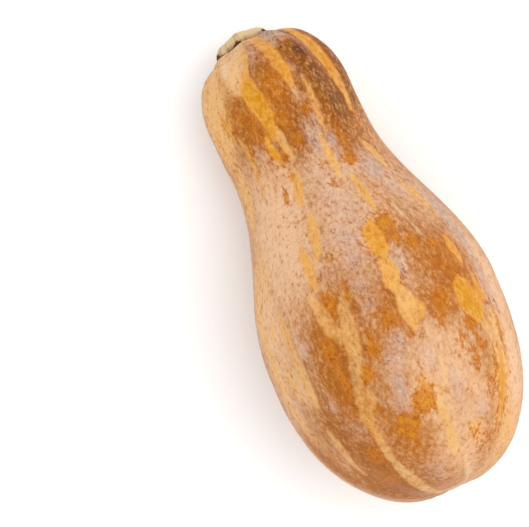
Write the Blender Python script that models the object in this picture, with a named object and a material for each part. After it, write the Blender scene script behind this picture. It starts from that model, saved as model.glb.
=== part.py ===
"""A striped butternut squash lying on its side, with the short woody stub of its stem.

The squash is a turned body: a blunt bulb, a long flank and an even neck, closed by a dome at
each end. Ten shallow ribs run along it, a basin in the neck's end carries the stem, and a small
corky scar marks the blossom end. It is first shaped round a straight axis, then bent a little,
and laid down until the bulb and the neck both touch the ground.

Metres, +Z up, the ground at zero. The squash's long axis lies along Y, with the stem at +Y.
An angle round the axis is counted from the top of the lying squash towards +X.
"""

import math

import bmesh
import bpy
from mathutils import Matrix, Quaternion, Vector

# Body: places are distances along the axis from the blossom end
BULB_RADIUS = 0.0618
NECK_RADIUS = 0.0376
BULB_WIDEST = 0.082
FLANK_START = 0.0895
FLANK_END = 0.1860
SHOULDER_START = 0.2105
SHOULDER_LENGTH = 0.041
BLOSSOM_BLUNTNESS = 2.3
SHOULDER_BLUNTNESS = 2.15

# Basin under the stem, and the dimple and scar at the blossom end
SEAT = 0.2447
SEAT_RADIUS = 0.0165
BASIN_CURVE = 120.0
BASIN_RIM = 0.0010
DIMPLE_RADIUS = 0.016
DIMPLE_DEPTH = 0.0012
SCAR_RADIUS = 0.0038
SCAR_HEIGHT = 0.0005

# Ribs, how far they stray from even spacing in radians, and the slow swells of a grown skin
RIBS = 10
RIB_HEIGHT = 0.0005
RIB_HEIGHT_AT_STEM = 0.0013
RIB_FADE = 0.035
RIB_RISE_AT_STEM = 0.014
RIB_RISE_AT_BLOSSOM = 0.034
RIB_CROWDING = 0.05
RIB_WANDER = 0.06
WANDER_PER_METRE = 14.0
WANDER_START = 2.0
SWELL = 0.0005
WIDE_SWELL_PER_METRE = 24.0
NARROW_SWELL_PER_METRE = 40.0
NARROW_SWELL_START = 2.0

# Bends of the axis: sideways and down, at the neck and at each end
NECK_SHIFT = 0.0034
SHIFT_START = 0.035
SHIFT_END = 0.160
NECK_DROOP = 0.0040
STEM_LEAN = 0.0050
STEM_DROOP = 0.0040
BLOSSOM_LEAN = -0.0012
BLOSSOM_LEAN_START = 0.045
SLICE_TURN = 0.5

# How the squash lies
RESTING_TILT = math.radians(9.4)
BULB_CENTRE_HEIGHT = 0.0605
GROUND_SOFTNESS = 0.0007

# Stem stub: a flared foot, rounded over to the cut, with the pith sunk in its middle
STEM_GAP = 0.0003
STEM_RIDGES = 5
STEM_RIDGE_HEIGHT = 0.0011
STEM_FOOT_RADIUS = 0.0150
STEM_FOOT_HEIGHT = 0.0017
STEM_FOOT_EDGE = 0.0004
STEM_CUT_RADIUS = 0.0092
STEM_HEIGHT = 0.0105
STEM_PITH_RADIUS = 0.0066
STEM_PITH_DEPTH = 0.0007

# Fineness of the solids
BODY_SEGMENTS = 70
FINEST_RING = 0.0011
WIDEST_RING = 0.0068
WIDEST_RING_AT_STEM = 0.0028
RING_SHARE = 0.24
STEM_SEGMENTS = 60
STEM_ROUNDING_STEPS = 9
OUTLINE_STEPS = 400

FRUIT_COLOUR = (0.62, 0.29, 0.11, 1.0)
STEM_COLOUR = (0.60, 0.42, 0.22, 1.0)


def clear_scene():
    for found in list(bpy.data.objects):
        bpy.data.objects.remove(found)


def smooth_step(share):
    share = min(1.0, max(0.0, share))
    return share * share * (3 - 2 * share)


def smooth_least(a, b, width):
    """The smaller of two lengths, rounded over where they are within that width of each other."""
    share = max(0.0, 1 - abs(a - b) / (2 * width))
    return min(a, b) - width * share * share / 2


def dome_point(turn, reach, radius, bluntness):
    """A point of a blunt dome's quarter outline: its distance from the dome's foot, and its radius."""
    along = reach * math.sin(turn) ** (2 / bluntness)
    return along, radius * math.cos(turn) ** (2 / bluntness)


def blossom_end(turn):
    along, radius = dome_point(turn, BULB_WIDEST, BULB_RADIUS, BLOSSOM_BLUNTNESS)
    in_dimple = max(0.0, 1 - (radius / DIMPLE_RADIUS) ** 2)
    in_scar = max(0.0, 1 - (radius / SCAR_RADIUS) ** 4)
    return BULB_WIDEST - along + DIMPLE_DEPTH * in_dimple**2 - SCAR_HEIGHT * in_scar, radius


def flank(share):
    along = BULB_WIDEST + share * (SHOULDER_START - BULB_WIDEST)
    fullness = smooth_step((FLANK_END - along) / (FLANK_END - FLANK_START))
    return along, NECK_RADIUS + (BULB_RADIUS - NECK_RADIUS) * fullness


def stem_end(turn):
    along, radius = dome_point(turn, SHOULDER_LENGTH, NECK_RADIUS, SHOULDER_BLUNTNESS)
    basin = SEAT + BASIN_CURVE * max(0.0, radius - SEAT_RADIUS) ** 2
    return smooth_least(SHOULDER_START + along, basin, BASIN_RIM), radius


def spaced(outline):
    """Points of a fine outline, close together at its ends and wider apart where it is broad."""
    kept = [outline[0]]
    for point in outline[1:-1]:
        widest = WIDEST_RING_AT_STEM if point[0] > SHOULDER_START else WIDEST_RING
        wanted = min(widest, max(FINEST_RING, RING_SHARE * point[1]))
        if math.dist(point, kept[-1]) >= wanted:
            kept.append(point)
    return [*kept, outline[-1]]


def body_outline():
    """(along, radius) from the blossom end to the middle of the stem's seat."""
    shares = [step / OUTLINE_STEPS for step in range(OUTLINE_STEPS + 1)]
    quarter = math.pi / 2
    fine = [blossom_end(quarter * (1 - share)) for share in shares]
    fine += [flank(share) for share in shares[1:]]
    fine += [stem_end(quarter * share) for share in shares[1:]]
    fine[0] = (fine[0][0], 0.0)
    fine[-1] = (fine[-1][0], 0.0)
    return spaced(fine)


def turned(outline, segments):
    """A closed body turned round the Y axis from an outline of (along, radius)."""
    shape = bmesh.new()
    points = [shape.verts.new((0, along, radius)) for along, radius in outline]
    edges = [shape.edges.new(pair) for pair in zip(points, points[1:])]
    bmesh.ops.spin(
        shape,
        geom=points + edges,
        cent=(0, 0, 0),
        axis=(0, 1, 0),
        angle=math.tau,
        steps=segments,
        use_merge=True,
    )
    bmesh.ops.remove_doubles(shape, verts=shape.verts[:], dist=1e-6)
    bmesh.ops.recalc_face_normals(shape, faces=shape.faces[:])
    shape.normal_update()
    return shape


def angle_of(point):
    return math.atan2(point.x, point.z)


def relief(point):
    """How far the skin stands out of the smooth body there: the ribs, and a slow swell."""
    angle = angle_of(point)
    radius = math.hypot(point.x, point.z)
    height = RIB_HEIGHT + RIB_HEIGHT_AT_STEM * math.exp((point.y - SEAT) / RIB_FADE)
    crowding = RIB_CROWDING * (1 - math.sin(angle))
    wander = RIB_WANDER * math.sin(3 * angle - WANDER_PER_METRE * point.y + WANDER_START)
    ribs = height * math.cos(RIBS * (angle + crowding + wander))
    wide_swell = math.sin(2 * angle + WIDE_SWELL_PER_METRE * point.y)
    narrow_swell = math.sin(3 * angle - NARROW_SWELL_PER_METRE * point.y + NARROW_SWELL_START)
    raised = ribs + SWELL * (wide_swell + narrow_swell)
    if point.y > SHOULDER_START:
        return raised * smooth_step((radius - SEAT_RADIUS) / RIB_RISE_AT_STEM)
    return raised * smooth_step(radius / RIB_RISE_AT_BLOSSOM)


def spine(along):
    """Where the squash's own bent axis runs: sideways, and up or down, of the straight one."""
    shift = NECK_SHIFT * smooth_step((along - SHIFT_START) / (SHIFT_END - SHIFT_START))
    droop = NECK_DROOP * smooth_step((along - FLANK_START) / (FLANK_END - FLANK_START))
    in_shoulder = max(0.0, (along - SHOULDER_START) / SHOULDER_LENGTH)
    in_blossom = max(0.0, 1 - along / BLOSSOM_LEAN_START)
    sideways = shift - STEM_LEAN * in_shoulder**2 + BLOSSOM_LEAN * in_blossom**2
    return Vector((sideways, along, -droop - STEM_DROOP * in_shoulder**2))


def slice_frame(along):
    """The place of a slice of the squash, and its turn, which follows the bent axis part of the way."""
    step = 0.0005
    direction = spine(along + step) - spine(along - step)
    whole_turn = Vector((0, 1, 0)).rotation_difference(direction)
    turn = Quaternion().slerp(whole_turn, SLICE_TURN)
    return Matrix.Translation(spine(along)) @ turn.to_matrix().to_4x4()


def settle(point):
    """Flattens softly what would reach below the ground, where the bulb and the neck rest."""
    reach = GROUND_SOFTNESS
    if point.z < -reach:
        point.z = 0.0
    elif point.z < reach:
        point.z = (point.z + reach) ** 2 / (4 * reach)
    return point


def lying():
    """Where the squash's axis frame lies: tipped until the neck touches the ground too."""
    down_to_neck = Matrix.Rotation(-RESTING_TILT, 4, "X")
    raised = Matrix.Translation((0, 0, BULB_CENTRE_HEIGHT))
    return raised @ down_to_neck @ Matrix.Translation((0, -BULB_WIDEST, 0))


def painted(name, colour, roughness):
    material = bpy.data.materials.new(name)
    material.use_nodes = True
    shader = material.node_tree.nodes["Principled BSDF"]
    shader.inputs["Base Color"].default_value = colour
    shader.inputs["Roughness"].default_value = roughness
    shader.inputs["Metallic"].default_value = 0.0
    return material


def make_object(name, shape, material, parent):
    mesh = bpy.data.meshes.new(name)
    shape.to_mesh(mesh)
    shape.free()
    mesh.shade_smooth()
    mesh.materials.append(material)
    made = bpy.data.objects.new(name, mesh)
    bpy.context.scene.collection.objects.link(made)
    made.parent = parent
    return made


def make_fruit(parent):
    shape = turned(body_outline(), BODY_SEGMENTS)
    raised = [vertex.co + vertex.normal * relief(vertex.co) for vertex in shape.verts]
    to_ground = lying()
    from_ground = to_ground.inverted()
    for vertex, point in zip(shape.verts, raised):
        across = Vector((point.x, 0, point.z))
        bent = slice_frame(point.y) @ across
        vertex.co = from_ground @ settle(to_ground @ bent)
    return make_object("fruit", shape, painted("rind", FRUIT_COLOUR, 0.5), parent)


def stem_outline():
    """(height above the seat, radius) from the middle of the foot, over the flare, to the pith."""
    foot = STEM_FOOT_RADIUS
    outline = [(0.0, 0.0), (0.0, foot / 2), (0.0, foot - STEM_FOOT_EDGE)]
    for step in range(STEM_ROUNDING_STEPS + 1):
        turn = math.pi / 2 * step / STEM_ROUNDING_STEPS
        height = STEM_FOOT_HEIGHT + (STEM_HEIGHT - STEM_FOOT_HEIGHT) * math.sin(turn)
        outline.append((height, STEM_CUT_RADIUS + (foot - STEM_CUT_RADIUS) * math.cos(turn)))
    pith = STEM_HEIGHT - STEM_PITH_DEPTH
    return [*outline, (pith, STEM_PITH_RADIUS), (pith, 0.0)]


def make_stem(parent):
    shape = turned(stem_outline(), STEM_SEGMENTS)
    for vertex in shape.verts:
        radius = math.hypot(vertex.co.x, vertex.co.z)
        share = smooth_step(radius / STEM_FOOT_RADIUS)
        ridge = STEM_RIDGE_HEIGHT * share * math.cos(STEM_RIDGES * angle_of(vertex.co))
        grown = 1 + ridge / STEM_FOOT_RADIUS
        vertex.co.x *= grown
        vertex.co.z *= grown
    stem = make_object("stem", shape, painted("cork", STEM_COLOUR, 0.8), parent)
    stem.matrix_local = slice_frame(SEAT) @ Matrix.Translation((0, STEM_GAP, 0))
    return stem


def centre_on_origin(axis_frame, pieces):
    """Moves the whole squash along the ground, so that the origin is under its box's middle."""
    bpy.context.view_layer.update()
    corners = [piece.matrix_world @ vertex.co for piece in pieces for vertex in piece.data.vertices]
    for letter in (0, 1):
        low = min(corner[letter] for corner in corners)
        high = max(corner[letter] for corner in corners)
        axis_frame.location[letter] -= (low + high) / 2


def main():
    clear_scene()
    axis_frame = bpy.data.objects.new("squash_axis", None)
    bpy.context.scene.collection.objects.link(axis_frame)
    axis_frame.matrix_world = lying()
    fruit = make_fruit(axis_frame)
    stem = make_stem(axis_frame)
    centre_on_origin(axis_frame, [fruit, stem])


main()
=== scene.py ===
import math
import random

import bmesh
import bpy
import numpy as np
from mathutils import Matrix, Quaternion, Vector, noise


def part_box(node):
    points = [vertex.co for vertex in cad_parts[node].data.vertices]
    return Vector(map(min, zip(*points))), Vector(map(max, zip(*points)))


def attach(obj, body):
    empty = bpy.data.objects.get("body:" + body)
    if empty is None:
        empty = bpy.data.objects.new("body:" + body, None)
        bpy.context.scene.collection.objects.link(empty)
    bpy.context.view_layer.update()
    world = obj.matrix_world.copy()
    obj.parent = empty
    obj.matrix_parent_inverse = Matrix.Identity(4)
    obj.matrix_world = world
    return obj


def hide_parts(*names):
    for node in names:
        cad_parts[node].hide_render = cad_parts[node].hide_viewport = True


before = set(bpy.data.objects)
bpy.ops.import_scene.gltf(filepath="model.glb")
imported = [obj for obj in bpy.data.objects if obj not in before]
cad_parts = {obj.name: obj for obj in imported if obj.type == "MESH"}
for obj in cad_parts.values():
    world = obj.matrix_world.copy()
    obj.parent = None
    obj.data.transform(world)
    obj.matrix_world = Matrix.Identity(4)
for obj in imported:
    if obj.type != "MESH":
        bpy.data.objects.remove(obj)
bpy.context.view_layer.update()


# The squash, flesh and rind, is one grown body: a blunt bulb and an even neck under a hard thin
# skin with ten shallow ribs. It is turned round a straight axis, bent the way it grew, and
# settled where its bulb and its neck lie on the ground.
BULB_RADIUS = 0.0618
NECK_RADIUS = 0.0376
BULB_WIDEST = 0.082
FLANK_START = 0.0895
FLANK_END = 0.1860
SHOULDER_START = 0.2105
SHOULDER_LENGTH = 0.041
BLOSSOM_BLUNTNESS = 2.3
SHOULDER_BLUNTNESS = 2.15
SEAT = 0.2447
SEAT_RADIUS = 0.0165
BASIN_CURVE = 120.0
BASIN_RIM = 0.0010
DIMPLE_RADIUS = 0.016
DIMPLE_DEPTH = 0.0012
SCAR_RADIUS = 0.0038
SCAR_HEIGHT = 0.0005
RIBS = 10
RIB_HEIGHT = 0.0005
RIB_HEIGHT_AT_STEM = 0.0013
RIB_FADE = 0.035
RIB_RISE_AT_STEM = 0.014
RIB_RISE_AT_BLOSSOM = 0.034
RIB_CROWDING = 0.05
RIB_WANDER = 0.06
WANDER_PER_METRE = 14.0
WANDER_START = 2.0
SWELL = 0.0005
WIDE_SWELL_PER_METRE = 24.0
NARROW_SWELL_PER_METRE = 40.0
NARROW_SWELL_START = 2.0
NECK_SHIFT = 0.0034
SHIFT_START = 0.035
SHIFT_END = 0.160
NECK_DROOP = 0.0040
STEM_LEAN = 0.0050
STEM_DROOP = 0.0040
BLOSSOM_LEAN = -0.0012
BLOSSOM_LEAN_START = 0.045
SLICE_TURN = 0.5
RESTING_TILT = math.radians(9.4)
BULB_CENTRE_HEIGHT = 0.0605
GROUND_SOFTNESS = 0.0007

SKIN_SEGMENTS = 288
RING_SPACING = 0.0010
OUTLINE_STEPS = 700
WEDGES = 16
SKIN_INSET = 0.00016
POLE_RADIUS = 0.004
LUMPS = ((0.024, 0.00022), (0.009, 0.00010), (0.0032, 0.00004))


def smooth_step(share):
    share = np.clip(share, 0.0, 1.0)
    return share * share * (3 - 2 * share)


def blossom_end(turn):
    along = BULB_WIDEST * math.sin(turn) ** (2 / BLOSSOM_BLUNTNESS)
    radius = BULB_RADIUS * math.cos(turn) ** (2 / BLOSSOM_BLUNTNESS)
    in_dimple = max(0.0, 1 - (radius / DIMPLE_RADIUS) ** 2)
    in_scar = max(0.0, 1 - (radius / SCAR_RADIUS) ** 4)
    return BULB_WIDEST - along + DIMPLE_DEPTH * in_dimple**2 - SCAR_HEIGHT * in_scar, radius


def flank(share):
    along = BULB_WIDEST + share * (SHOULDER_START - BULB_WIDEST)
    fullness = smooth_step((FLANK_END - along) / (FLANK_END - FLANK_START))
    return along, NECK_RADIUS + (BULB_RADIUS - NECK_RADIUS) * fullness


def stem_end(turn):
    along = SHOULDER_START + SHOULDER_LENGTH * math.sin(turn) ** (2 / SHOULDER_BLUNTNESS)
    radius = NECK_RADIUS * math.cos(turn) ** (2 / SHOULDER_BLUNTNESS)
    basin = SEAT + BASIN_CURVE * max(0.0, radius - SEAT_RADIUS) ** 2
    overlap = max(0.0, 1 - abs(along - basin) / (2 * BASIN_RIM))
    return min(along, basin) - BASIN_RIM * overlap**2 / 2, radius


def body_outline():
    """(along, radius) from the blossom end to the middle of the stem's seat, evenly spaced."""
    shares = [step / OUTLINE_STEPS for step in range(OUTLINE_STEPS + 1)]
    quarter = math.pi / 2
    fine = [blossom_end(quarter * (1 - share)) for share in shares]
    fine += [flank(share) for share in shares[1:]]
    fine += [stem_end(quarter * share) for share in shares[1:]]
    kept = [(fine[0][0], 0.0)]
    for point in fine[1:-1]:
        if math.dist(point, kept[-1]) >= RING_SPACING:
            kept.append(point)
    return [*kept, (fine[-1][0], 0.0)]


def turned(name, outline, segments):
    """A closed mesh turned round the Y axis from an outline of (along, radius), wedge by wedge."""
    shape = bmesh.new()
    points = [shape.verts.new((0, along, radius)) for along, radius in outline]
    edges = [shape.edges.new(pair) for pair in zip(points, points[1:])]
    turn = {"cent": (0, 0, 0), "axis": (0, 1, 0)}
    wedge = math.tau / WEDGES
    bmesh.ops.spin(shape, geom=points + edges, angle=wedge, steps=segments // WEDGES, **turn)
    whole = shape.verts[:] + shape.edges[:] + shape.faces[:]
    rest = {"angle": math.tau - wedge, "steps": WEDGES - 1, "use_duplicate": True}
    bmesh.ops.spin(shape, geom=whole, **rest, **turn)
    bmesh.ops.remove_doubles(shape, verts=shape.verts[:], dist=1e-6)
    bmesh.ops.recalc_face_normals(shape, faces=shape.faces[:])
    mesh = bpy.data.meshes.new(name)
    shape.to_mesh(mesh)
    shape.free()
    mesh.shade_smooth()
    return mesh


def read_vectors(items, name):
    values = np.empty(len(items) * 3)
    items.foreach_get(name, values)
    return values.reshape(-1, 3)


def relief(angle, along, radius):
    """How far the skin stands out of the smooth body there: the ribs, and a slow swell."""
    height = RIB_HEIGHT + RIB_HEIGHT_AT_STEM * np.exp((along - SEAT) / RIB_FADE)
    crowding = RIB_CROWDING * (1 - np.sin(angle))
    wander = RIB_WANDER * np.sin(3 * angle - WANDER_PER_METRE * along + WANDER_START)
    ribs = height * np.cos(RIBS * (angle + crowding + wander))
    wide_swell = np.sin(2 * angle + WIDE_SWELL_PER_METRE * along)
    narrow_swell = np.sin(3 * angle - NARROW_SWELL_PER_METRE * along + NARROW_SWELL_START)
    at_stem = smooth_step((radius - SEAT_RADIUS) / RIB_RISE_AT_STEM)
    at_blossom = smooth_step(radius / RIB_RISE_AT_BLOSSOM)
    raised = ribs + SWELL * (wide_swell + narrow_swell)
    return raised * np.where(along > SHOULDER_START, at_stem, at_blossom)


def spine(along):
    """Where the squash's own bent axis runs: sideways, and up or down, of the straight one."""
    shift = NECK_SHIFT * smooth_step((along - SHIFT_START) / (SHIFT_END - SHIFT_START))
    droop = NECK_DROOP * smooth_step((along - FLANK_START) / (FLANK_END - FLANK_START))
    in_shoulder = np.maximum(0.0, (along - SHOULDER_START) / SHOULDER_LENGTH)
    in_blossom = np.maximum(0.0, 1 - along / BLOSSOM_LEAN_START)
    sideways = shift - STEM_LEAN * in_shoulder**2 + BLOSSOM_LEAN * in_blossom**2
    return np.stack([sideways, along, -droop - STEM_DROOP * in_shoulder**2], axis=-1)


def slice_turn(along):
    """Axis and angle of a slice's turn, which follows the bent axis part of the way."""
    step = 0.0005
    direction = spine(along + step) - spine(along - step)
    direction /= np.linalg.norm(direction, axis=-1, keepdims=True)
    hinge = np.cross([0.0, 1.0, 0.0], direction)
    size = np.linalg.norm(hinge, axis=-1, keepdims=True)
    hinge /= np.maximum(size, 1e-12)
    return hinge, SLICE_TURN * np.arcsin(np.minimum(size, 1.0))


def bent(points):
    """Points of the straight body where the bent one has them."""
    across = points * [1.0, 0.0, 1.0]
    hinge, angle = slice_turn(points[:, 1])
    along_hinge = hinge * np.sum(hinge * across, axis=1, keepdims=True)
    turned_across = (
        across * np.cos(angle)
        + np.cross(hinge, across) * np.sin(angle)
        + along_hinge * (1 - np.cos(angle))
    )
    return spine(points[:, 1]) + turned_across


def lying():
    """Where the squash's axis frame lies: tipped until the neck touches the ground too."""
    down_to_neck = Matrix.Rotation(-RESTING_TILT, 4, "X")
    raised = Matrix.Translation((0, 0, BULB_CENTRE_HEIGHT))
    return raised @ down_to_neck @ Matrix.Translation((0, -BULB_WIDEST, 0))


def placed(points, matrix):
    return points @ np.array(matrix.to_3x3()).T + np.array(matrix.translation)


def settled(points):
    """Flattens softly what would reach below the ground."""
    height = points[:, 2]
    soft = (height + GROUND_SOFTNESS) ** 2 / (4 * GROUND_SOFTNESS)
    near = np.where(np.abs(height) < GROUND_SOFTNESS, soft, height)
    points[:, 2] = np.where(height <= -GROUND_SOFTNESS, 0.0, near)
    return points


def lumpy(points, sizes, seed=0.0):
    """Small rises and hollows of the skin, as (size across, height) in metres."""
    total = np.zeros(len(points))
    for size, height in sizes:
        offset = Vector((seed, size * 1000, 0))
        waves = [noise.noise(Vector(point) / size + offset) for point in points]
        total += height * np.array(waves)
    return total


def keep_field(mesh, name, values):
    """Writes one value for each point of the mesh, for its finish to read."""
    kind, slot = ("FLOAT_VECTOR", "vector") if values.ndim == 2 else ("FLOAT", "value")
    field = mesh.attributes.new(name, kind, "POINT")
    field.data.foreach_set(slot, np.ascontiguousarray(values, dtype=np.float32).ravel())


# Marks on the skin. A route is a list of (mm from the blossom end, degrees round, width in mm).
# A stripe has a strength of colour, from below 0 for cream over pale peach to 1 for bright ochre,
# a cover, from 0 for none to 1 for a full coat, and a route.
STRIPES = [
    (0.75, 1.0, [(247, 12, 6), (238, 14, 8), (227, 13, 7), (219, 13, 7), (213, 13, 4)]),
    (0.30, 0.7, [(213, 13, 3), (208, 13, 3), (204, 12, 2)]),
    (0.20, 0.85, [(246, -8, 5), (238, -16, 9), (232, -23, 13), (227, -25, 12), (222, -27, 7)]),
    # A painted highlight: the short cream streak on the shoulder left of the stem
    (-0.20, 0.7, [(240, -32, 2), (237, -32, 4), (234, -33, 4), (231, -34, 2)]),
    (1.00, 1.0, [(228, -21, 8), (220, -20, 10), (213, -18, 10.5), (207, -17, 10),
                 (202, -16, 8), (196, -17, 5), (191, -18, 2)]),
    (0.55, 1.0, [(238, -8, 4), (232, -14, 6), (228, -18, 7), (222, -20, 7)]),
    (0.90, 1.0, [(193, -24, 3), (188, -24, 4), (183, -22, 4), (177, -21, 2)]),
    (0.40, 0.9, [(195, -13, 3), (190, -13, 5), (184, -12, 4.5), (176, -11, 2)]),
    (0.60, 1.0, [(247, 67, 4), (238, 57, 4), (233, 54, 6)]),
    (0.85, 1.0, [(234, 55, 6), (228, 53, 8), (222, 52, 8), (212, 54, 7)]),
    (0.60, 0.9, [(213, 54, 7), (206, 56, 6), (200, 57, 4), (191, 56, 3)]),
    (0.45, 0.88, [(214, 24, 1), (207, 24, 3), (200, 23, 3.5), (192, 22, 3), (184, 21, 2)]),
    (0.40, 1.0, [(183, 16, 2), (176, 15, 3.5), (170, 15, 5), (164, 15, 4.5), (156, 13, 2)]),
    (0.45, 1.0, [(156, 21, 2), (150, 21, 4), (146, 21, 4.5), (140, 21, 3.5), (134, 21, 2)]),
    (0.50, 0.9, [(175, 48, 2), (169, 51, 6), (162, 53, 5), (154, 52, 2)]),
    (0.95, 1.0, [(216, -54, 3), (210, -52, 5), (206, -52, 4), (201, -50, 2)]),
    (0.60, 0.8, [(200, -45, 2), (190, -43, 3), (180, -44, 3), (167, -44, 2)]),
    (0.50, 1.0, [(171, -13, 2), (165, -15, 5), (160, -16, 6), (155, -18, 4), (149, -17, 1)]),
    (0.45, 1.0, [(145, -15, 3), (139, -16, 6), (132, -16, 6), (126, -17, 5), (122, -19, 3)]),
    (0.55, 1.0, [(132, -25, 2), (126, -25, 5), (120, -24, 6), (114, -24, 5), (108, -24, 2)]),
    (0.32, 0.85, [(109, -50, 2), (103, -48, 6), (97, -48, 7), (89, -48, 5),
                  (78, -48, 7), (66, -49, 7), (61, -49, 3)]),
    (0.42, 0.72, [(107, -28, 3.5), (101, -26, 6), (95, -25, 7), (89, -24, 7.5), (84, -21, 7.5)]),
    (0.42, 0.72, [(99, -14, 3.5), (94, -15, 6.5), (88, -16, 7.5), (82, -17, 8.5),
                  (77, -18, 8.5), (72, -19, 7), (66, -20, 4)]),
    (0.30, 0.45, [(72, -20, 6), (63, -23, 6), (58, -24, 7)]),
    (0.42, 0.68, [(57, -24, 7), (52, -24, 11), (46, -27, 8), (41, -28, 4), (36, -28, 5)]),
    (0.28, 0.72, [(36, -28, 5), (24, -30, 4.5), (15, -31, 5.5), (9, -32, 6), (2, -35, 4)]),
    (0.30, 0.7, [(48, -53, 2), (42, -53, 5), (36, -54, 6), (30, -56, 4), (23, -57, 2)]),
    (0.20, 0.7, [(58, 16, 2), (52, 16, 4), (44, 15, 2)]),
    (0.32, 0.95, [(42, 10, 1.5), (37, 8, 4), (30, 8, 4.5), (24, 8, 5), (18, 8, 6), (12, 8, 2)]),
    (0.70, 0.9, [(50, 4, 1.5), (46, 5, 2.5), (43, 6, 1)]),
    (0.75, 1.0, [(129, 14, 4), (124, 12, 9), (120, 12, 11), (115, 12, 10), (112, 12, 4)]),
    (0.50, 1.0, [(113, 13, 3), (108, 11, 7), (102, 11, 9), (98, 10, 9), (93, 10, 4)]),
    (0.38, 1.0, [(93, 12, 4), (88, 12, 9), (83, 12, 11), (78, 11, 7), (72, 11, 2)]),
    (0.70, 0.9, [(86, 16, 2), (82, 17, 5), (78, 16, 4)]),
    (0.75, 1.0, [(110, 48, 3), (106, 48, 5), (102, 48, 6), (96, 48, 3)]),
    (1.00, 1.0, [(88, 41, 4), (83, 41, 12), (77, 42, 16), (72, 43, 13), (66, 42, 4)]),
    (0.75, 1.0, [(89, 51, 2), (82, 51, 5), (77, 51, 6)]),
    (0.35, 0.8, [(68, 45, 3), (62, 46, 6), (56, 47, 3)]),
    (0.40, 0.8, [(146, 53, 2), (139, 53, 4), (134, 52, 3.5), (128, 52, 2)]),
    (0.45, 0.8, [(142, 58, 3), (134, 58, 5), (128, 57, 4), (122, 57, 2)]),
    (0.10, 0.7, [(12, 14, 1.5), (6, 17, 3), (1, 24, 2)]),
    (-0.20, 0.8, [(134, 32, 0.8), (128, 33, 1.0), (122, 34, 1.0), (114, 35, 0.8)]),
    (-0.20, 0.7, [(110, 18, 0.8), (104, 19, 1.0), (97, 18, 0.8)]),
    (0.50, 0.55, [(66, 60, 2), (56, 58, 3), (46, 57, 4), (38, 57, 2)]),
    (0.80, 0.85, [(52, 51, 3), (45, 50, 6), (38, 48, 8), (31, 47, 7), (25, 45, 4), (20, 43, 2)]),
]

# Soft patches: (mm from the blossom end, degrees round, length in mm, width in mm, strength),
# listed from the stem to the blossom end.
RUST = [
    (214, -2, 20, 11, 1.1), (209, -53, 8, 3, 1.3), (208, -38, 14, 12, 0.8),
    (204, -32, 20, 12, 0.4), (200, -30, 12, 9, 0.9), (198, 15, 6, 5, 1.1), (197, -6, 14, 9, 1.1),
    (194, -20, 5, 4, 1.3), (191, -41, 8, 4, 0.9), (186, -2, 8, 6, 0.9), (181, -16, 7, 4, 1.0),
    (177, 30, 12, 4, 0.9), (168, -17, 9, 3, 1.2), (167, 8, 9, 6, 0.5), (165, 26, 7, 6, 1.5),
    (160, -26, 9, 3, 1.5), (155, 7, 7, 5, 0.6), (150, 45, 8, 3, 0.6), (148, 30, 4, 3, 0.8),
    (125, 21, 11, 9, 2.0), (119, -12, 6, 12, 0.5), (117, 22, 7, 5, 1.5), (112, 10, 12, 9, 0.4),
    (112, 28, 9, 6, 1.6), (108, 38, 8, 8, 1.4), (102, 30, 20, 14, 0.6), (101, -11, 10, 3, 1.1),
    (100, -20, 12, 7, 1.4), (97, 42, 20, 16, 0.9), (96, 37, 6, 6, 1.2), (92, 16, 16, 10, 0.5),
    (86, -4, 6, 8, 0.6), (82, 2, 14, 12, 0.9), (82, 28, 12, 10, 1.2), (80, -29, 18, 8, 1.0),
    (75, 24, 8, 8, 1.0), (74, -10, 14, 7, 1.0), (72, 8, 6, 7, 0.9), (70, -30, 24, 12, 0.45),
    (66, 37, 6, 7, 1.4), (64, -29, 20, 5, 1.2), (63, -18, 9, 8, 1.6), (59, 29, 12, 4, 0.9),
    (58, 56, 30, 4, 0.8), (56, 38, 9, 6, 1.1), (54, -34, 24, 10, 0.5), (50, 33, 12, 4, 1.1),
    (47, 44, 14, 3, 1.1), (45, 5, 5, 5, 1.4), (43, -21, 14, 5, 0.5), (41, 2, 11, 10, 1.9),
    (37, -12, 5, 6, 2.0), (37, -5, 5, 4, 1.2), (37, 39, 10, 7, 0.8), (34, -30, 20, 12, 0.4),
    (33, -16, 5, 5, 2.0), (33, -8, 5, 5, 1.9), (30, -12, 5, 5, 2.0), (28, -37, 9, 10, 1.0),
    (26, 46, 12, 8, 0.6), (24, -14, 14, 12, 0.6), (19, 24, 9, 9, 0.6), (16, -49, 10, 16, 0.8),
    (16, 34, 16, 16, 0.5),
]
BROWN = [
    (228, -41, 22, 4, 0.8), (227, 36, 14, 12, 1.5), (226, 68, 46, 26, 1.7),
    (222, 30, 24, 34, 1.2), (218, -6, 20, 14, 0.8), (214, -2, 40, 18, 1.1),
    (207, -36, 36, 20, 1.2), (205, 38, 50, 28, 1.2), (200, -38, 24, 16, 0.9),
    (200, -26, 15, 16, 1.3), (196, 49, 20, 12, 1.2), (194, -4, 26, 18, 1.3),
    (186, 36, 30, 20, 0.8), (176, 30, 20, 10, 0.6), (105, 34, 24, 14, 0.5),
    (96, -18, 20, 24, 0.6), (96, 40, 34, 22, 0.8), (86, 6, 20, 20, 0.6), (80, -26, 34, 22, 0.9),
    (80, 26, 20, 14, 0.7), (74, -6, 30, 16, 0.4), (66, 38, 20, 12, 0.4), (62, -30, 30, 16, 1.1),
    (50, -62, 30, 12, 0.5), (50, 36, 26, 16, 0.45), (44, -46, 44, 22, 0.6),
    (36, -72, 40, 12, 1.0), (36, 22, 20, 14, 0.3), (32, -14, 28, 18, 0.5), (26, -40, 30, 24, 0.8),
    (16, 44, 30, 22, 0.4), (14, -54, 22, 26, 1.1), (6, -20, 14, 30, 0.45),
]
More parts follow.
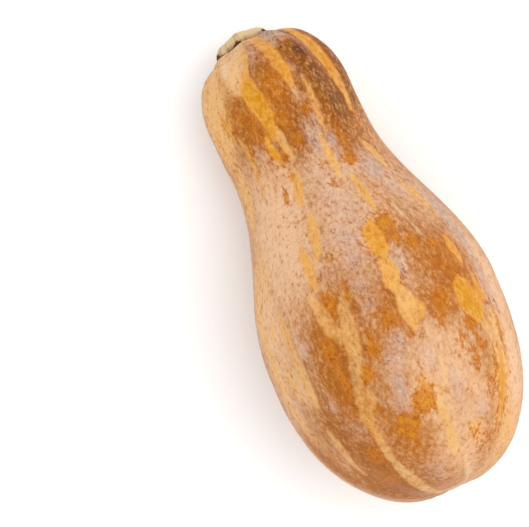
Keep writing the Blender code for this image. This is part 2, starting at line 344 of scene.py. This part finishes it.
# The two on the neck's left lobe and those near 50 degrees low on the bulb are partly own gold,
# partly painted light.
GOLD = [
    (222, -58, 46, 20, 1.2), (206, -70, 30, 12, 1.2), (172, -69, 36, 9, 1.0),
    (130, -58, 36, 13, 0.7), (103, -57, 12, 6, 0.9), (100, -68, 90, 9, 0.9),
    (78, -58, 24, 8, 0.7), (60, 54, 24, 10, 0.8), (42, 3, 22, 18, 0.5), (40, 49, 26, 12, 1.2),
    (27, 48, 28, 12, 1.1), (20, 24, 9, 8, 0.8), (14, 55, 24, 20, 0.8),
]
OLIVE = [
    (227, 31, 7, 5, 1.3), (226, 36, 5, 4, 1.2), (221, 32, 10, 6, 1.0), (215, 34, 11, 9, 1.2),
    (207, 68, 26, 7, 1.1), (206, 36, 13, 9, 1.2), (197, 39, 15, 10, 1.2), (197, 48, 14, 8, 1.0),
    (197, 63, 22, 7, 1.1), (190, 43, 12, 9, 1.0), (184, 42, 10, 7, 0.8),
]
BLOOM = [
    (241, 26, 12, 16, 2.0), (233, -4, 20, 8, 0.9), (228, -46, 16, 6, 1.0), (219, 21, 14, 7, 0.9),
    (211, 33, 10, 5, 0.7), (206, 13, 10, 4, 1.2), (190, 18, 28, 5, 1.1), (189, -34, 12, 6, 1.1),
    (182, 10, 22, 9, 1.4), (178, 21, 12, 7, 1.3), (165, 16, 24, 14, 1.0), (156, 39, 20, 18, 1.3),
    (152, -26, 8, 10, 0.9), (148, 5, 60, 22, 0.9), (145, 43, 14, 11, 1.1), (128, 63, 30, 9, 1.5),
    (126, -1, 22, 12, 1.1), (124, -22, 44, 30, 0.5), (115, -2, 12, 10, 1.1),
    (110, 61, 30, 9, 1.4), (108, 19, 10, 5, 0.9), (102, -5, 9, 9, 0.9), (101, 16, 19, 5, 1.3),
    (90, 60, 30, 8, 1.3), (89, -4, 13, 9, 0.9), (88, -41, 16, 8, 0.9), (88, 14, 6, 5, 1.1),
    (72, 2, 12, 9, 1.3), (72, 59, 24, 8, 1.1), (64, -3, 14, 12, 1.0), (61, -62, 30, 9, 0.8),
    (59, 11, 16, 12, 0.8), (57, -40, 12, 7, 0.8), (57, 33, 9, 8, 0.6), (51, -6, 18, 7, 1.3),
    (48, -36, 26, 12, 0.8), (44, -9, 12, 8, 1.1), (40, 19, 20, 9, 1.2), (27, 30, 14, 9, 1.0),
    (10, -7, 10, 9, 0.8),
]
# Partly the skin's own pale tone, partly painted light: lifted dim edges, and a highlight by the
# stem.
PALE = [
    (232, -26, 26, 16, 1.3), (229, -46, 26, 16, 1.2), (222, -62, 36, 16, 1.4),
    (148, 6, 50, 34, 0.55), (145, -40, 70, 34, 1.3), (135, 50, 50, 24, 0.4),
    (110, -60, 60, 26, 1.1), (84, 66, 60, 16, 1.0), (72, -54, 24, 12, 0.9),
    (62, -68, 60, 18, 0.9), (60, 16, 24, 24, 0.6), (40, 24, 60, 40, 0.8), (40, 62, 60, 20, 1.2),
    (14, 20, 24, 30, 0.8),
]

# Millimetres inside a mark's edge where no mark is near, and how fast a patch thins out.
FAR_OUTSIDE = -20.0
PATCH_FALL = 0.7

body = turned("squash_body", body_outline(), SKIN_SEGMENTS)
straight = read_vectors(body.vertices, "co")
outward = read_vectors(body.vertices, "normal")
angle = np.arctan2(straight[:, 0], straight[:, 2])
along = straight[:, 1]
radius = np.hypot(straight[:, 0], straight[:, 2])


def from_spot(spot_along, spot_degrees):
    """Millimetres along and across the skin from one spot of it, for every point."""
    around = (np.degrees(angle) - spot_degrees + 180) % 360 - 180
    return along * 1000 - spot_along, np.radians(around) * radius * 1000


def in_route(route):
    """Millimetres inside a route's edge, for every point; less than none outside it."""
    best = np.full(len(along), FAR_OUTSIDE)
    for (a, degrees_a, width_a), (b, degrees_b, width_b) in zip(route, route[1:]):
        share = np.clip((along * 1000 - a) / (b - a), 0.0, 1.0)
        middle = degrees_a + (degrees_b - degrees_a) * share
        nearest = a + (b - a) * share
        past, across = from_spot(nearest, middle)
        half_width = (width_a + (width_b - width_a) * share) / 2
        best = np.maximum(best, half_width - np.hypot(past, across))
    return best


def patchy(patches, sharpness=1.0):
    """The strength of the patches at every point. They are softer the lower the sharpness."""
    total = np.zeros(len(along))
    for spot_along, degrees, length, width, strength in patches:
        past, across = from_spot(spot_along, degrees)
        spread = (2 * past / length) ** 2 + (2 * across / width) ** 2
        total = np.maximum(total, strength * np.exp(-PATCH_FALL * spread**sharpness))
    return total


# The underside and the far flanks: rows of stripes along the squash, and patches among them.
HIDDEN_ROWS = 11
FIRST_ROW = 86
ROW_SPACING = 18.5
LAST_STRIPE_START = 225
STRIPE_STEP = 9
HIDDEN_PLACES = (10, 235)
HIDDEN_DEGREES = (84, 276)
HIDDEN_RUST = 60
HIDDEN_PATCHES = 16
HIDDEN_SEED = 11


def hidden_marks(draw):
    """Stripes and patches of the sides that the photograph doesn't show, drawn by a rule."""
    stripes, rust, brown, gold, bloom, pale = [], [], [], [], [], []
    for row in range(HIDDEN_ROWS):
        degrees = FIRST_ROW + ROW_SPACING * row
        start = draw.uniform(6, 26)
        while start < LAST_STRIPE_START:
            length = draw.uniform(16, 52)
            steps = max(2, round(length / STRIPE_STEP))
            wide = draw.uniform(3.5, 9.0)
            lean = draw.uniform(-5, 5)
            middle = degrees + draw.uniform(-5, 5)
            route = []
            for step in range(steps + 1):
                share = step / steps
                width = wide * (0.45 + 0.75 * math.sin(math.pi * share)) * draw.uniform(0.8, 1.2)
                route.append((start + length * share, middle + lean * share, width))
            stripes.append((draw.uniform(0.3, 0.9), draw.uniform(0.8, 1.0), route))
            start += length + draw.uniform(6, 46)
    for _ in range(HIDDEN_RUST):
        spot = (draw.uniform(*HIDDEN_PLACES), draw.uniform(*HIDDEN_DEGREES))
        rust.append((*spot, draw.uniform(6, 20), draw.uniform(4, 12), draw.uniform(0.7, 1.3)))
    kinds = ((brown, 0.5, 1.0), (bloom, 0.8, 1.4), (pale, 0.5, 0.9), (gold, 0.5, 0.9))
    for patches, low, high in kinds:
        for _ in range(HIDDEN_PATCHES):
            spot = (draw.uniform(*HIDDEN_PLACES), draw.uniform(*HIDDEN_DEGREES))
            size = (draw.uniform(18, 50), draw.uniform(10, 22))
            patches.append((*spot, *size, draw.uniform(low, high)))
    return stripes, rust, brown, gold, bloom, pale


# Corky scars: a nick near the stem, scratches as routes, and specks as (mm, degrees round, mm wide).
NICK = (226, 33)
NICK_RADIUS = 1.8
NICK_DEPTH = 0.0005
SCRATCHES = [
    [(155, 52, 0.6), (153, 58, 0.9), (150, 63, 0.5)],
    [(230, 27, 1.0), (227, 31, 2.2), (224, 34, 2.6), (221, 35, 1.4)],
    [(226, 33, 2.0), (227, 38, 1.6)],
    [(232, 20, 0.8), (231, 24, 1.5), (230, 27, 0.9)],
]
SPECKS = [(97, 59, 1.2), (73, 60, 1.2), (227, -69, 1.0), (64, -6, 0.8), (34, -16, 1.0)]
CORK_MARGIN = 0.0005

# How softly stripes blend, and how far outside its edge a mark is still told apart, in mm.
STRIPE_BLEND = 1.2
STRIPE_REACH = 12.0
SCAR_REACH = 6.0

hidden = hidden_marks(random.Random(HIDDEN_SEED))
hidden_stripes, hidden_rust, hidden_brown, hidden_gold, hidden_bloom, hidden_pale = hidden
stripe_field = np.full(len(along), FAR_OUTSIDE)
nearness = np.zeros(len(along))
stripe_strength = np.zeros(len(along))
stripe_cover = np.zeros(len(along))
for strength, cover, route in STRIPES + hidden_stripes:
    inside = in_route(route)
    stripe_field = np.maximum(stripe_field, inside)
    share = np.exp(inside / STRIPE_BLEND)
    nearness += share
    stripe_strength += strength * share
    stripe_cover += cover * share
stripe_strength /= nearness
stripe_cover /= nearness
scar_field = np.full(len(along), FAR_OUTSIDE)
for route in SCRATCHES:
    scar_field = np.maximum(scar_field, in_route(route))
for spot_along, degrees, width in SPECKS:
    scar_field = np.maximum(scar_field, width / 2 - np.hypot(*from_spot(spot_along, degrees)))
from_nick = np.hypot(*from_spot(*NICK))
scar_field = np.maximum(scar_field, NICK_RADIUS - from_nick)
at_blossom = along < BULB_WIDEST / 2
cork_radius = np.where(at_blossom, SCAR_RADIUS, SEAT_RADIUS + CORK_MARGIN)
on_an_end = at_blossom | (along > SHOULDER_START)
cork_field = np.where(on_an_end, (cork_radius - radius) * 1000, -SCAR_REACH)
arc_length = np.sign(along - BULB_WIDEST) * np.hypot(along - BULB_WIDEST, BULB_RADIUS - radius)
unrolled = np.stack([straight[:, 0], straight[:, 2], arc_length], axis=1)

keep_field(body, "skin", unrolled)
keep_field(body, "stripe", np.maximum(stripe_field, -STRIPE_REACH))
keep_field(body, "stripe_strength", stripe_strength)
keep_field(body, "stripe_cover", stripe_cover)
keep_field(body, "gold", patchy(GOLD + hidden_gold))
keep_field(body, "rust", patchy(RUST + hidden_rust, sharpness=1.3))
keep_field(body, "brown", patchy(BROWN + hidden_brown))
keep_field(body, "olive", patchy(OLIVE, sharpness=1.5))
keep_field(body, "bloom", patchy(BLOOM + hidden_bloom))
keep_field(body, "pale", patchy(PALE + hidden_pale))
keep_field(body, "scar", np.maximum(scar_field, -SCAR_REACH))
keep_field(body, "cork", np.maximum(cork_field, -SCAR_REACH))

raised = relief(angle, along, radius) + lumpy(straight, LUMPS) - SKIN_INSET
raised -= NICK_DEPTH * np.clip(1 - (from_nick / NICK_RADIUS) ** 2, 0.0, 1.0)
off_the_poles = smooth_step(radius / POLE_RADIUS)
grown = bent(straight + outward * (raised * off_the_poles)[:, None])
grown = settled(placed(grown, lying()))
fruit_low, fruit_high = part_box("fruit")
to_cad = Vector([*((fruit_low + fruit_high) / 2)[:2], 0.0])
to_cad -= Vector([*((grown.min(axis=0) + grown.max(axis=0)) / 2)[:2], 0.0])
body.vertices.foreach_set("co", (grown + np.array(to_cad)).ravel())
body.update()


STUDIO_LIGHT = 1.33


def seen(red, green, blue):
    """A colour, from 0 to 255 as a screen shows it lit, as the share of the light sent back."""
    shares = [value / 255 for value in (red, green, blue)]
    linear = [s / 12.92 if s <= 0.04045 else ((s + 0.055) / 1.055) ** 2.4 for s in shares]
    return (*[value / STUDIO_LIGHT for value in linear], 1.0)


class Finish:
    """A surface finish being mixed: each call adds one step and gives back what it makes."""

    def __init__(self, name):
        self.material = bpy.data.materials.new(name)
        self.material.use_nodes = True
        self.tree = self.material.node_tree
        self.shader = self.tree.nodes["Principled BSDF"]

    def step(self, kind, given, out=0, **settings):
        made = self.tree.nodes.new("ShaderNode" + kind)
        for name, value in settings.items():
            setattr(made, name, value)
        for slot, value in given.items():
            self.feed(made.inputs[slot], value)
        return made.outputs[out]

    def feed(self, slot, value):
        if isinstance(value, bpy.types.NodeSocket):
            self.tree.links.new(value, slot)
        else:
            slot.default_value = value

    def field(self, name):
        return self.step("Attribute", {}, out=2, attribute_name=name)

    def place(self, name):
        return self.step("Attribute", {}, out=1, attribute_name=name)

    def object_place(self):
        return self.step("TexCoord", {}, out=3)

    def math(self, operation, a, b=0.0):
        return self.step("Math", {0: a, 1: b}, operation=operation)

    def grain(self, place, size, detail=2.0, roughness=0.5, wave=0.0):
        """Cloudy grain from 0 to 1. Its size is in metres, the same or one for each direction."""
        sizes = size if isinstance(size, tuple) else (size,) * 3
        per_metre = tuple(1 / length for length in sizes)
        scaled = self.step("VectorMath", {0: place, 1: per_metre}, operation="MULTIPLY")
        given = {"Vector": scaled, "Scale": 1.0, "Detail": detail, "Roughness": roughness}
        return self.step("TexNoise", {**given, "Distortion": wave})

    def rise(self, value, low, high):
        """0 below low, 1 above high, and a smooth rise between them."""
        given = {0: value, 1: low, 2: high, 3: 0.0, 4: 1.0}
        return self.step("MapRange", given, interpolation_type="SMOOTHSTEP")

    def mix(self, share, a, b):
        return self.step("Mix", {0: share, 6: a, 7: b}, out=2, data_type="RGBA")

    def blend(self, share, a, b):
        return self.step("Mix", {0: share, 2: a, 3: b}, data_type="FLOAT")

    def sum(self, first, *more):
        for value in more:
            first = self.math("ADD", first, value)
        return first

    def times(self, a, b):
        return self.math("MULTIPLY", a, b)


DARK_BROWN = seen(144, 76, 18)
GOLDEN_BROWN = seen(184, 108, 32)
TAN = seen(214, 152, 98)
PEACH = seen(246, 196, 152)
GOLDEN = seen(250, 188, 104)
LILAC = seen(216, 180, 162)
GREY_LILAC = seen(196, 172, 160)
RUST_GOLD = seen(242, 164, 34)
RUST_ORANGE = seen(222, 130, 14)
RUST_DARK = seen(166, 80, 2)
STRIPE_CREAM = seen(246, 216, 176)
STRIPE_PEACH = seen(244, 198, 142)
STRIPE_APRICOT = seen(240, 176, 94)
STRIPE_YELLOW = seen(238, 160, 50)
STRIPE_OCHRE = seen(226, 152, 16)
OLIVE_DARK = seen(106, 74, 22)
SCAR_BROWN = seen(112, 58, 26)
SCAR_TAN = seen(208, 164, 134)
PALE_GRAIN = seen(252, 212, 170)
AMBER_GRAIN = seen(196, 116, 28)
BUFF_GRAIN = seen(248, 198, 108)
GOLDEN_GRAIN = seen(228, 164, 94)
TAN_GRAIN = seen(156, 102, 62)
DARK_GRAIN = seen(92, 44, 6)
RUSTY_GRAIN = seen(140, 62, 0)
AMBER_GLINT = seen(248, 178, 70)


def rind_finish():
    """Ochre stripes and rust patches on a netted golden-brown skin under a pale waxy bloom."""
    finish = Finish("rind")
    skin = finish.place("skin")
    spot = finish.object_place()

    # Grains, from broad clouds down to dust
    clouds = finish.grain(skin, (0.012, 0.012, 0.028), detail=3.0)
    streaks = finish.grain(skin, (0.0030, 0.0030, 0.020), detail=3.0)
    blotches = finish.grain(skin, (0.0040, 0.0040, 0.0075), detail=4.0, roughness=0.62, wave=0.3)
    netting = finish.grain(skin, (0.0022, 0.0022, 0.0036), detail=4.0, roughness=0.68)
    flecks = finish.grain(skin, (0.0013, 0.0013, 0.0020), detail=3.0, roughness=0.62)
    dust = finish.grain(spot, 0.0007, detail=2.0, roughness=0.8)

    # The ground, from peach over tan to dark brown, with golden fields
    # The pale and gold fields are partly painted light: lifted dim edges and a highlight by the stem
    brown = finish.sum(
        finish.times(finish.field("brown"), 0.62),
        finish.times(finish.field("pale"), -0.50),
        finish.times(clouds, 0.3),
        finish.times(streaks, 0.35),
        finish.times(blotches, 0.5),
        finish.times(netting, 0.25),
        -0.45,
    )
    colour = finish.mix(finish.rise(brown, -0.35, 0.30), PEACH, TAN)
    colour = finish.mix(finish.rise(brown, 0.05, 0.65), colour, GOLDEN_BROWN)
    colour = finish.mix(finish.rise(brown, 0.50, 1.20), colour, DARK_BROWN)
    gold = finish.sum(finish.field("gold"), finish.times(blotches, 0.8), -0.40)
    colour = finish.mix(finish.times(finish.rise(gold, 0.1, 0.9), 0.8), colour, GOLDEN)

    # The waxy bloom, which wears off the brown and the rusty places
    veil = finish.sum(
        finish.times(finish.field("bloom"), 0.55),
        finish.times(finish.field("brown"), -0.30),
        finish.times(finish.field("gold"), -0.30),
        finish.times(finish.field("pale"), -0.25),
        finish.times(finish.field("rust"), -0.35),
        finish.times(blotches, -0.4),
        finish.times(clouds, 0.3),
        finish.times(netting, -0.3),
        0.29,
    )
    veil = finish.times(finish.rise(veil, -0.1, 0.9), 0.85)
    bloom_colour = finish.mix(finish.rise(finish.field("bloom"), 0.8, 1.5), LILAC, GREY_LILAC)
    colour = finish.mix(veil, colour, bloom_colour)

    # Olive fields on the neck
    olive = finish.sum(finish.field("olive"), netting, finish.times(flecks, 1.4), -1.75)
    colour = finish.mix(finish.times(finish.rise(olive, -0.1, 0.8), 0.6), colour, OLIVE_DARK)

    # Rust: an orange lace over its patches and along the rims of the stronger stripes
    edge_waves = finish.grain(skin, (0.0022, 0.0022, 0.0042), detail=4.0, roughness=0.6)
    inside = finish.sum(
        finish.field("stripe"), finish.times(edge_waves, 3.2), finish.times(flecks, 2.4), -2.7
    )
    strength = finish.sum(finish.field("stripe_strength"), finish.times(clouds, 0.5), -0.25)
    rim = finish.times(finish.rise(inside, -3.0, -0.6), finish.rise(strength, 0.3, 1.0))
    rust = finish.sum(
        finish.field("rust"),
        finish.times(rim, 0.45),
        finish.times(blotches, 0.8),
        finish.times(netting, 3.2),
        finish.times(flecks, 1.6),
        -3.12,
    )
    rust = finish.rise(rust, -0.2, 0.8)
    rust_colour = finish.mix(finish.rise(flecks, 0.43, 0.55), RUST_DARK, RUST_ORANGE)
    rust_heart = finish.sum(
        finish.times(finish.field("rust"), 0.5),
        finish.times(netting, 3.0),
        finish.times(flecks, 2.0),
        -3.0,
    )
    rust_heart = finish.times(finish.rise(rust_heart, 0.1, 0.7), 0.85)
    rust_colour = finish.mix(rust_heart, rust_colour, RUST_GOLD)
    colour = finish.mix(finish.times(rust, 0.9), colour, rust_colour)

    # The stripes, from cream to ochre by their strength, with rusty freckles
    stripe = finish.rise(inside, -0.7, 1.2)
    stripe_heart = finish.times(finish.rise(inside, 0.6, 3.2), finish.rise(strength, 0.55, 1.0))
    stripe_colour = finish.mix(finish.rise(strength, -0.2, 0.2), STRIPE_CREAM, STRIPE_PEACH)
    stripe_colour = finish.mix(finish.rise(strength, 0.1, 0.5), stripe_colour, STRIPE_APRICOT)
    stripe_colour = finish.mix(finish.rise(strength, 0.45, 0.85), stripe_colour, STRIPE_YELLOW)
    stripe_colour = finish.mix(stripe_heart, stripe_colour, STRIPE_OCHRE)
    freckles = finish.times(finish.rise(netting, 0.54, 0.72), finish.rise(flecks, 0.48, 0.62))
    stripe_colour = finish.mix(finish.times(freckles, 0.45), stripe_colour, RUST_ORANGE)
    cover = finish.sum(
        finish.field("stripe_cover"), finish.times(blotches, -0.6), finish.times(netting, -0.5), 0.50
    )
    stripe = finish.times(stripe, finish.math("MINIMUM", cover, 1.0))
    colour = finish.mix(stripe, colour, stripe_colour)

    # Fine dark and pale grain over all of it, stronger in the brown and towards the stem
    grit = finish.sum(
        finish.times(flecks, 0.42), finish.times(dust, 0.12), finish.times(netting, 0.46)
    )
    bare = finish.sum(1.0, finish.times(stripe, -1.0))
    in_brown = finish.times(finish.math("MAXIMUM", finish.rise(brown, 0.0, 0.7), rust), bare)
    from_widest = finish.step("SeparateXYZ", {0: skin}, out=2)
    gritty = finish.sum(
        finish.times(in_brown, 0.14),
        finish.times(bare, -0.02),
        finish.times(finish.field("pale"), -0.14),
        finish.times(finish.rise(from_widest, -0.06, 0.02), 0.12),
        finish.times(finish.times(finish.rise(from_widest, 0.07, 0.11), in_brown), 0.16),
        0.36,
    )
    dark_grain = finish.mix(in_brown, finish.mix(bare, AMBER_GRAIN, TAN_GRAIN), DARK_GRAIN)
    pale_grain = finish.mix(in_brown, finish.mix(bare, BUFF_GRAIN, PALE_GRAIN), GOLDEN_GRAIN)
    rusty = finish.times(rust, bare)
    dark_grain = finish.mix(rusty, dark_grain, RUSTY_GRAIN)
    pale_grain = finish.mix(rusty, pale_grain, AMBER_GLINT)
    colour = finish.mix(finish.times(finish.rise(grit, 0.47, 0.64), gritty), colour, dark_grain)
    colour = finish.mix(finish.times(finish.rise(grit, 0.53, 0.36), gritty), colour, pale_grain)

    # A net of hair-fine lines
    lines = finish.grain(skin, (0.0030, 0.0030, 0.0042), detail=2.0, roughness=0.5)
    lines = finish.math("ABSOLUTE", finish.sum(lines, -0.5))
    net_strength = finish.sum(finish.times(in_brown, 0.30), 0.10)
    net = finish.times(finish.rise(lines, 0.030, 0.0), net_strength)
    colour = finish.mix(net, colour, finish.mix(in_brown, TAN_GRAIN, RUST_DARK))

    # Cork on the blossom scar and round the stem's foot, and dark corky scars
    cork = finish.sum(finish.field("cork"), netting, -0.5)
    cork_colour = finish.mix(finish.rise(flecks, 0.4, 0.6), TAN, STRIPE_CREAM)
    colour = finish.mix(finish.rise(cork, -0.6, 0.6), colour, cork_colour)
    scar = finish.sum(finish.field("scar"), finish.times(edge_waves, 5.0), -2.6)
    scar_colour = finish.mix(finish.rise(scar, 1.4, 2.8), SCAR_BROWN, SCAR_TAN)
    colour = finish.mix(finish.rise(scar, -0.4, 0.3), colour, scar_colour)
    finish.feed(finish.shader.inputs["Base Color"], colour)

    dull = finish.blend(stripe, finish.blend(veil, 0.48, 0.68), 0.44)
    finish.feed(finish.shader.inputs["Roughness"], dull)
    finish.shader.inputs["Specular IOR Level"].default_value = 0.12
    finish.shader.inputs["Sheen Weight"].default_value = 0.04
    finish.shader.inputs["Sheen Roughness"].default_value = 0.5
    height = finish.sum(
        finish.times(netting, 0.6), finish.times(flecks, 0.6), finish.times(stripe, 0.5)
    )
    bump = {"Strength": 0.6, "Distance": 0.00025, "Height": height}
    finish.feed(finish.shader.inputs["Normal"], finish.step("Bump", bump))
    return finish.material


def make_piece(name, mesh, material, node):
    mesh.materials.append(material)
    piece = bpy.data.objects.new(name, mesh)
    bpy.context.scene.collection.objects.link(piece)
    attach(piece, "root")
    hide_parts(node)


make_piece("squash_body", body, rind_finish(), "fruit")


# The stem stub is what is left of the vine's stalk: dry woody cork, pale and hard, with five
# blunt ridges. It flares onto the basin at the neck's end, grows out of the fruit there, and is
# cut short, so that its sunken pith shows.
STEM_GAP = 0.0003
STEM_RIDGES = 5
STEM_RIDGE_HEIGHT = 0.0011
STEM_FOOT_RADIUS = 0.0150
STEM_FOOT_HEIGHT = 0.0017
STEM_FOOT_EDGE = 0.0004
STEM_CUT_RADIUS = 0.0092
STEM_HEIGHT = 0.0105
STEM_PITH_RADIUS = 0.0066
STEM_PITH_DEPTH = 0.0007
STEM_SEGMENTS = 240
STEM_ROUNDING_STEPS = 70
STEM_RING_SPACING = 0.0003
STEM_INSET = 0.00036
STEM_LUMPS = ((0.0060, 0.00040), (0.0024, 0.00014), (0.0010, 0.00005))
FIBRE_CHANGE_PER_METRE = 60
# Painted shade: the brown of the stub's lower part, where less light falls
CORK_SHADE = seen(192, 144, 88)
CORK_PALE = seen(234, 204, 158)
CORK_FIBRE = seen(168, 120, 72)
CORK_CHALK = seen(244, 226, 196)
# A painted shadow brown, partly darker cork, for the foot where the fruit meets it
CORK_SHADOW_BROWN = seen(88, 50, 18)
PITH_BROWN = seen(150, 108, 70)


def stem_outline():
    """(height above the seat, radius) from the middle of the foot, over the flare, to the pith."""
    foot = STEM_FOOT_RADIUS
    rounded = [(0.0, 0.0), (0.0, foot - STEM_FOOT_EDGE)]
    for step in range(STEM_ROUNDING_STEPS + 1):
        turn = math.pi / 2 * step / STEM_ROUNDING_STEPS
        height = STEM_FOOT_HEIGHT + (STEM_HEIGHT - STEM_FOOT_HEIGHT) * math.sin(turn)
        rounded.append((height, STEM_CUT_RADIUS + (foot - STEM_CUT_RADIUS) * math.cos(turn)))
    pith = STEM_HEIGHT - STEM_PITH_DEPTH
    corners = [*rounded, (pith, STEM_PITH_RADIUS), (pith, 0.0)]
    fine = [corners[0]]
    for a, b in zip(corners, corners[1:]):
        pieces = max(1, math.ceil(math.dist(a, b) / STEM_RING_SPACING))
        for piece in range(1, pieces + 1):
            share = piece / pieces
            fine.append((a[0] + (b[0] - a[0]) * share, a[1] + (b[1] - a[1]) * share))
    return fine


stem = turned("stem_stub", stem_outline(), STEM_SEGMENTS)
stub = read_vectors(stem.vertices, "co")
stub_outward = read_vectors(stem.vertices, "normal")
stub_angle = np.arctan2(stub[:, 0], stub[:, 2])
stub_radius = np.hypot(stub[:, 0], stub[:, 2])
stub_height = stub[:, 1].copy()
ridge = STEM_RIDGE_HEIGHT * smooth_step(stub_radius / STEM_FOOT_RADIUS)
widened = 1 + ridge * np.cos(STEM_RIDGES * stub_angle) / STEM_FOOT_RADIUS
stub[:, 0] *= widened
stub[:, 2] *= widened
off_the_seat = smooth_step(stub_height / STEM_FOOT_HEIGHT)
knobs = lumpy(stub, STEM_LUMPS, seed=3.0) - STEM_INSET
stub += stub_outward * (np.minimum(knobs, 0.0) * off_the_seat)[:, None]
keep_field(stem, "height", stub_height * 1000)
keep_field(stem, "from_middle", stub_radius * 1000)
fibre_height = stub_height * FIBRE_CHANGE_PER_METRE
keep_field(stem, "round", np.stack([np.sin(stub_angle), np.cos(stub_angle), fibre_height], axis=1))
hinge, slice_angle = slice_turn(np.array([SEAT]))
turn = Quaternion(Vector(hinge[0]), float(slice_angle[0, 0])).to_matrix().to_4x4()
seat_place = Matrix.Translation(Vector(spine(np.array([SEAT]))[0])) @ turn
on_fruit = Matrix.Translation(to_cad) @ lying() @ seat_place @ Matrix.Translation((0, STEM_GAP, 0))
stem.vertices.foreach_set("co", placed(stub, on_fruit).ravel())
stem.update()


def cork_finish():
    """Dry cork: pale tan, browner in its grooves, painted shade and shadow where it meets the fruit.
    """
    finish = Finish("cork")
    spot = finish.object_place()
    knobs = finish.grain(spot, 0.0024, detail=4.0, roughness=0.65)
    fine = finish.grain(spot, 0.0007, detail=3.0, roughness=0.7)
    fibres = finish.grain(finish.place("round"), (0.10, 0.10, 1.2), detail=3.0, roughness=0.6)
    height = finish.field("height")
    # Painted shade: the cork is browner the lower it sits towards the fruit, and pale on top as if
    # lit
    low = finish.sum(height, finish.times(knobs, 5.0), -2.5)
    colour = finish.mix(finish.rise(low, 2.5, 6.5), CORK_SHADE, CORK_PALE)
    colour = finish.mix(finish.times(finish.rise(fibres, 0.50, 0.64), 0.45), colour, CORK_FIBRE)
    colour = finish.mix(finish.times(finish.rise(fine, 0.52, 0.70), 0.4), colour, CORK_CHALK)

    # The foot is darkened by a painted shadow, partly over darker cork, where the fruit meets it,
    # most of all at its two sides
    shadow_mottle = finish.grain(spot, 0.0060, detail=3.0, roughness=0.6)
    beside = finish.math("ABSOLUTE", finish.step("SeparateXYZ", {0: finish.place("round")}))
    beside = finish.rise(beside, 0.70, 1.0)
    dark = finish.sum(low, finish.times(shadow_mottle, -8.0), finish.times(beside, -3.4), 4.5)
    colour = finish.mix(finish.rise(dark, 4.9, 3.2), colour, CORK_SHADOW_BROWN)

    # The sunken pith in the cut face is browner
    pith_edge = STEM_PITH_RADIUS * 1000
    pith = finish.rise(finish.field("from_middle"), pith_edge, pith_edge - 1.0)
    pith = finish.times(pith, finish.rise(height, 5.0, 8.0))
    colour = finish.mix(finish.times(pith, 0.7), colour, PITH_BROWN)
    finish.feed(finish.shader.inputs["Base Color"], colour)
    finish.shader.inputs["Roughness"].default_value = 0.82
    finish.shader.inputs["Specular IOR Level"].default_value = 0.3
    depth = finish.sum(finish.times(knobs, 0.8), finish.times(fine, 0.5), finish.times(fibres, 0.5))
    bump = {"Strength": 0.7, "Distance": 0.0006, "Height": depth}
    finish.feed(finish.shader.inputs["Normal"], finish.step("Bump", bump))
    return finish.material


make_piece("stem_stub", stem, cork_finish(), "stem")


# The studio: a pale matt floor under soft white light from all round, with one broad lamp high
# above and to the right of the picture.
FLOOR_SIZE = 6.0
FLOOR_COLOUR = (0.95, 0.95, 0.95, 1.0)
AMBIENT = 1.09
LAMP_SIZE = 1.2
LAMP_POWER = 7.6
LAMP_PLACE = Vector((0.50, -0.20, 1.35))

floor_shape = bmesh.new()
bmesh.ops.create_grid(floor_shape, x_segments=1, y_segments=1, size=FLOOR_SIZE / 2)
floor_mesh = bpy.data.meshes.new("floor")
floor_shape.to_mesh(floor_mesh)
floor_shape.free()
floor = bpy.data.objects.new("floor", floor_mesh)
bpy.context.scene.collection.objects.link(floor)
floor_finish = Finish("pale_floor")
floor_finish.shader.inputs["Base Color"].default_value = FLOOR_COLOUR
floor_finish.shader.inputs["Roughness"].default_value = 0.9
floor_mesh.materials.append(floor_finish.material)

world = bpy.data.worlds.new("studio")
world.use_nodes = True
world.node_tree.nodes["Background"].inputs["Color"].default_value = (1.0, 1.0, 1.0, 1.0)
world.node_tree.nodes["Background"].inputs["Strength"].default_value = AMBIENT
bpy.context.scene.world = world

lamp = bpy.data.lights.new("broad_lamp", "AREA")
lamp.size = LAMP_SIZE
lamp.energy = LAMP_POWER
lamp_object = bpy.data.objects.new("broad_lamp", lamp)
lamp_object.location = LAMP_PLACE
lamp_object.rotation_euler = (-LAMP_PLACE).to_track_quat("-Z", "Y").to_euler()
bpy.context.scene.collection.objects.link(lamp_object)


# The camera looks almost straight down on the lying squash, whose axis slants about 25 degrees
# across the picture, with the stem at the upper left.
CAMERA_LENS = 148.6
CAMERA_DISTANCE = 1.10
CAMERA_ELEVATION = math.radians(89.0)
CAMERA_HEADING = math.radians(25.4)
CAMERA_AIM = Vector((-0.0390, 0.0144, 0.0449))

camera = bpy.data.cameras.new("camera")
camera.lens = CAMERA_LENS
camera_object = bpy.data.objects.new("camera", camera)
up = Vector((0, 0, 1))
level = Vector((math.sin(CAMERA_HEADING), math.cos(CAMERA_HEADING), 0.0))
looking = level * math.cos(CAMERA_ELEVATION) - up * math.sin(CAMERA_ELEVATION)
upright = level * math.sin(CAMERA_ELEVATION) + up * math.cos(CAMERA_ELEVATION)
sideways = looking.cross(upright)
camera_turn = Matrix((sideways, upright, -looking)).transposed().to_4x4()
camera_object.matrix_world = Matrix.Translation(CAMERA_AIM - looking * CAMERA_DISTANCE) @ camera_turn
bpy.context.scene.collection.objects.link(camera_object)
bpy.context.scene.camera = camera_object
bpy.context.scene.view_settings.view_transform = "Standard"
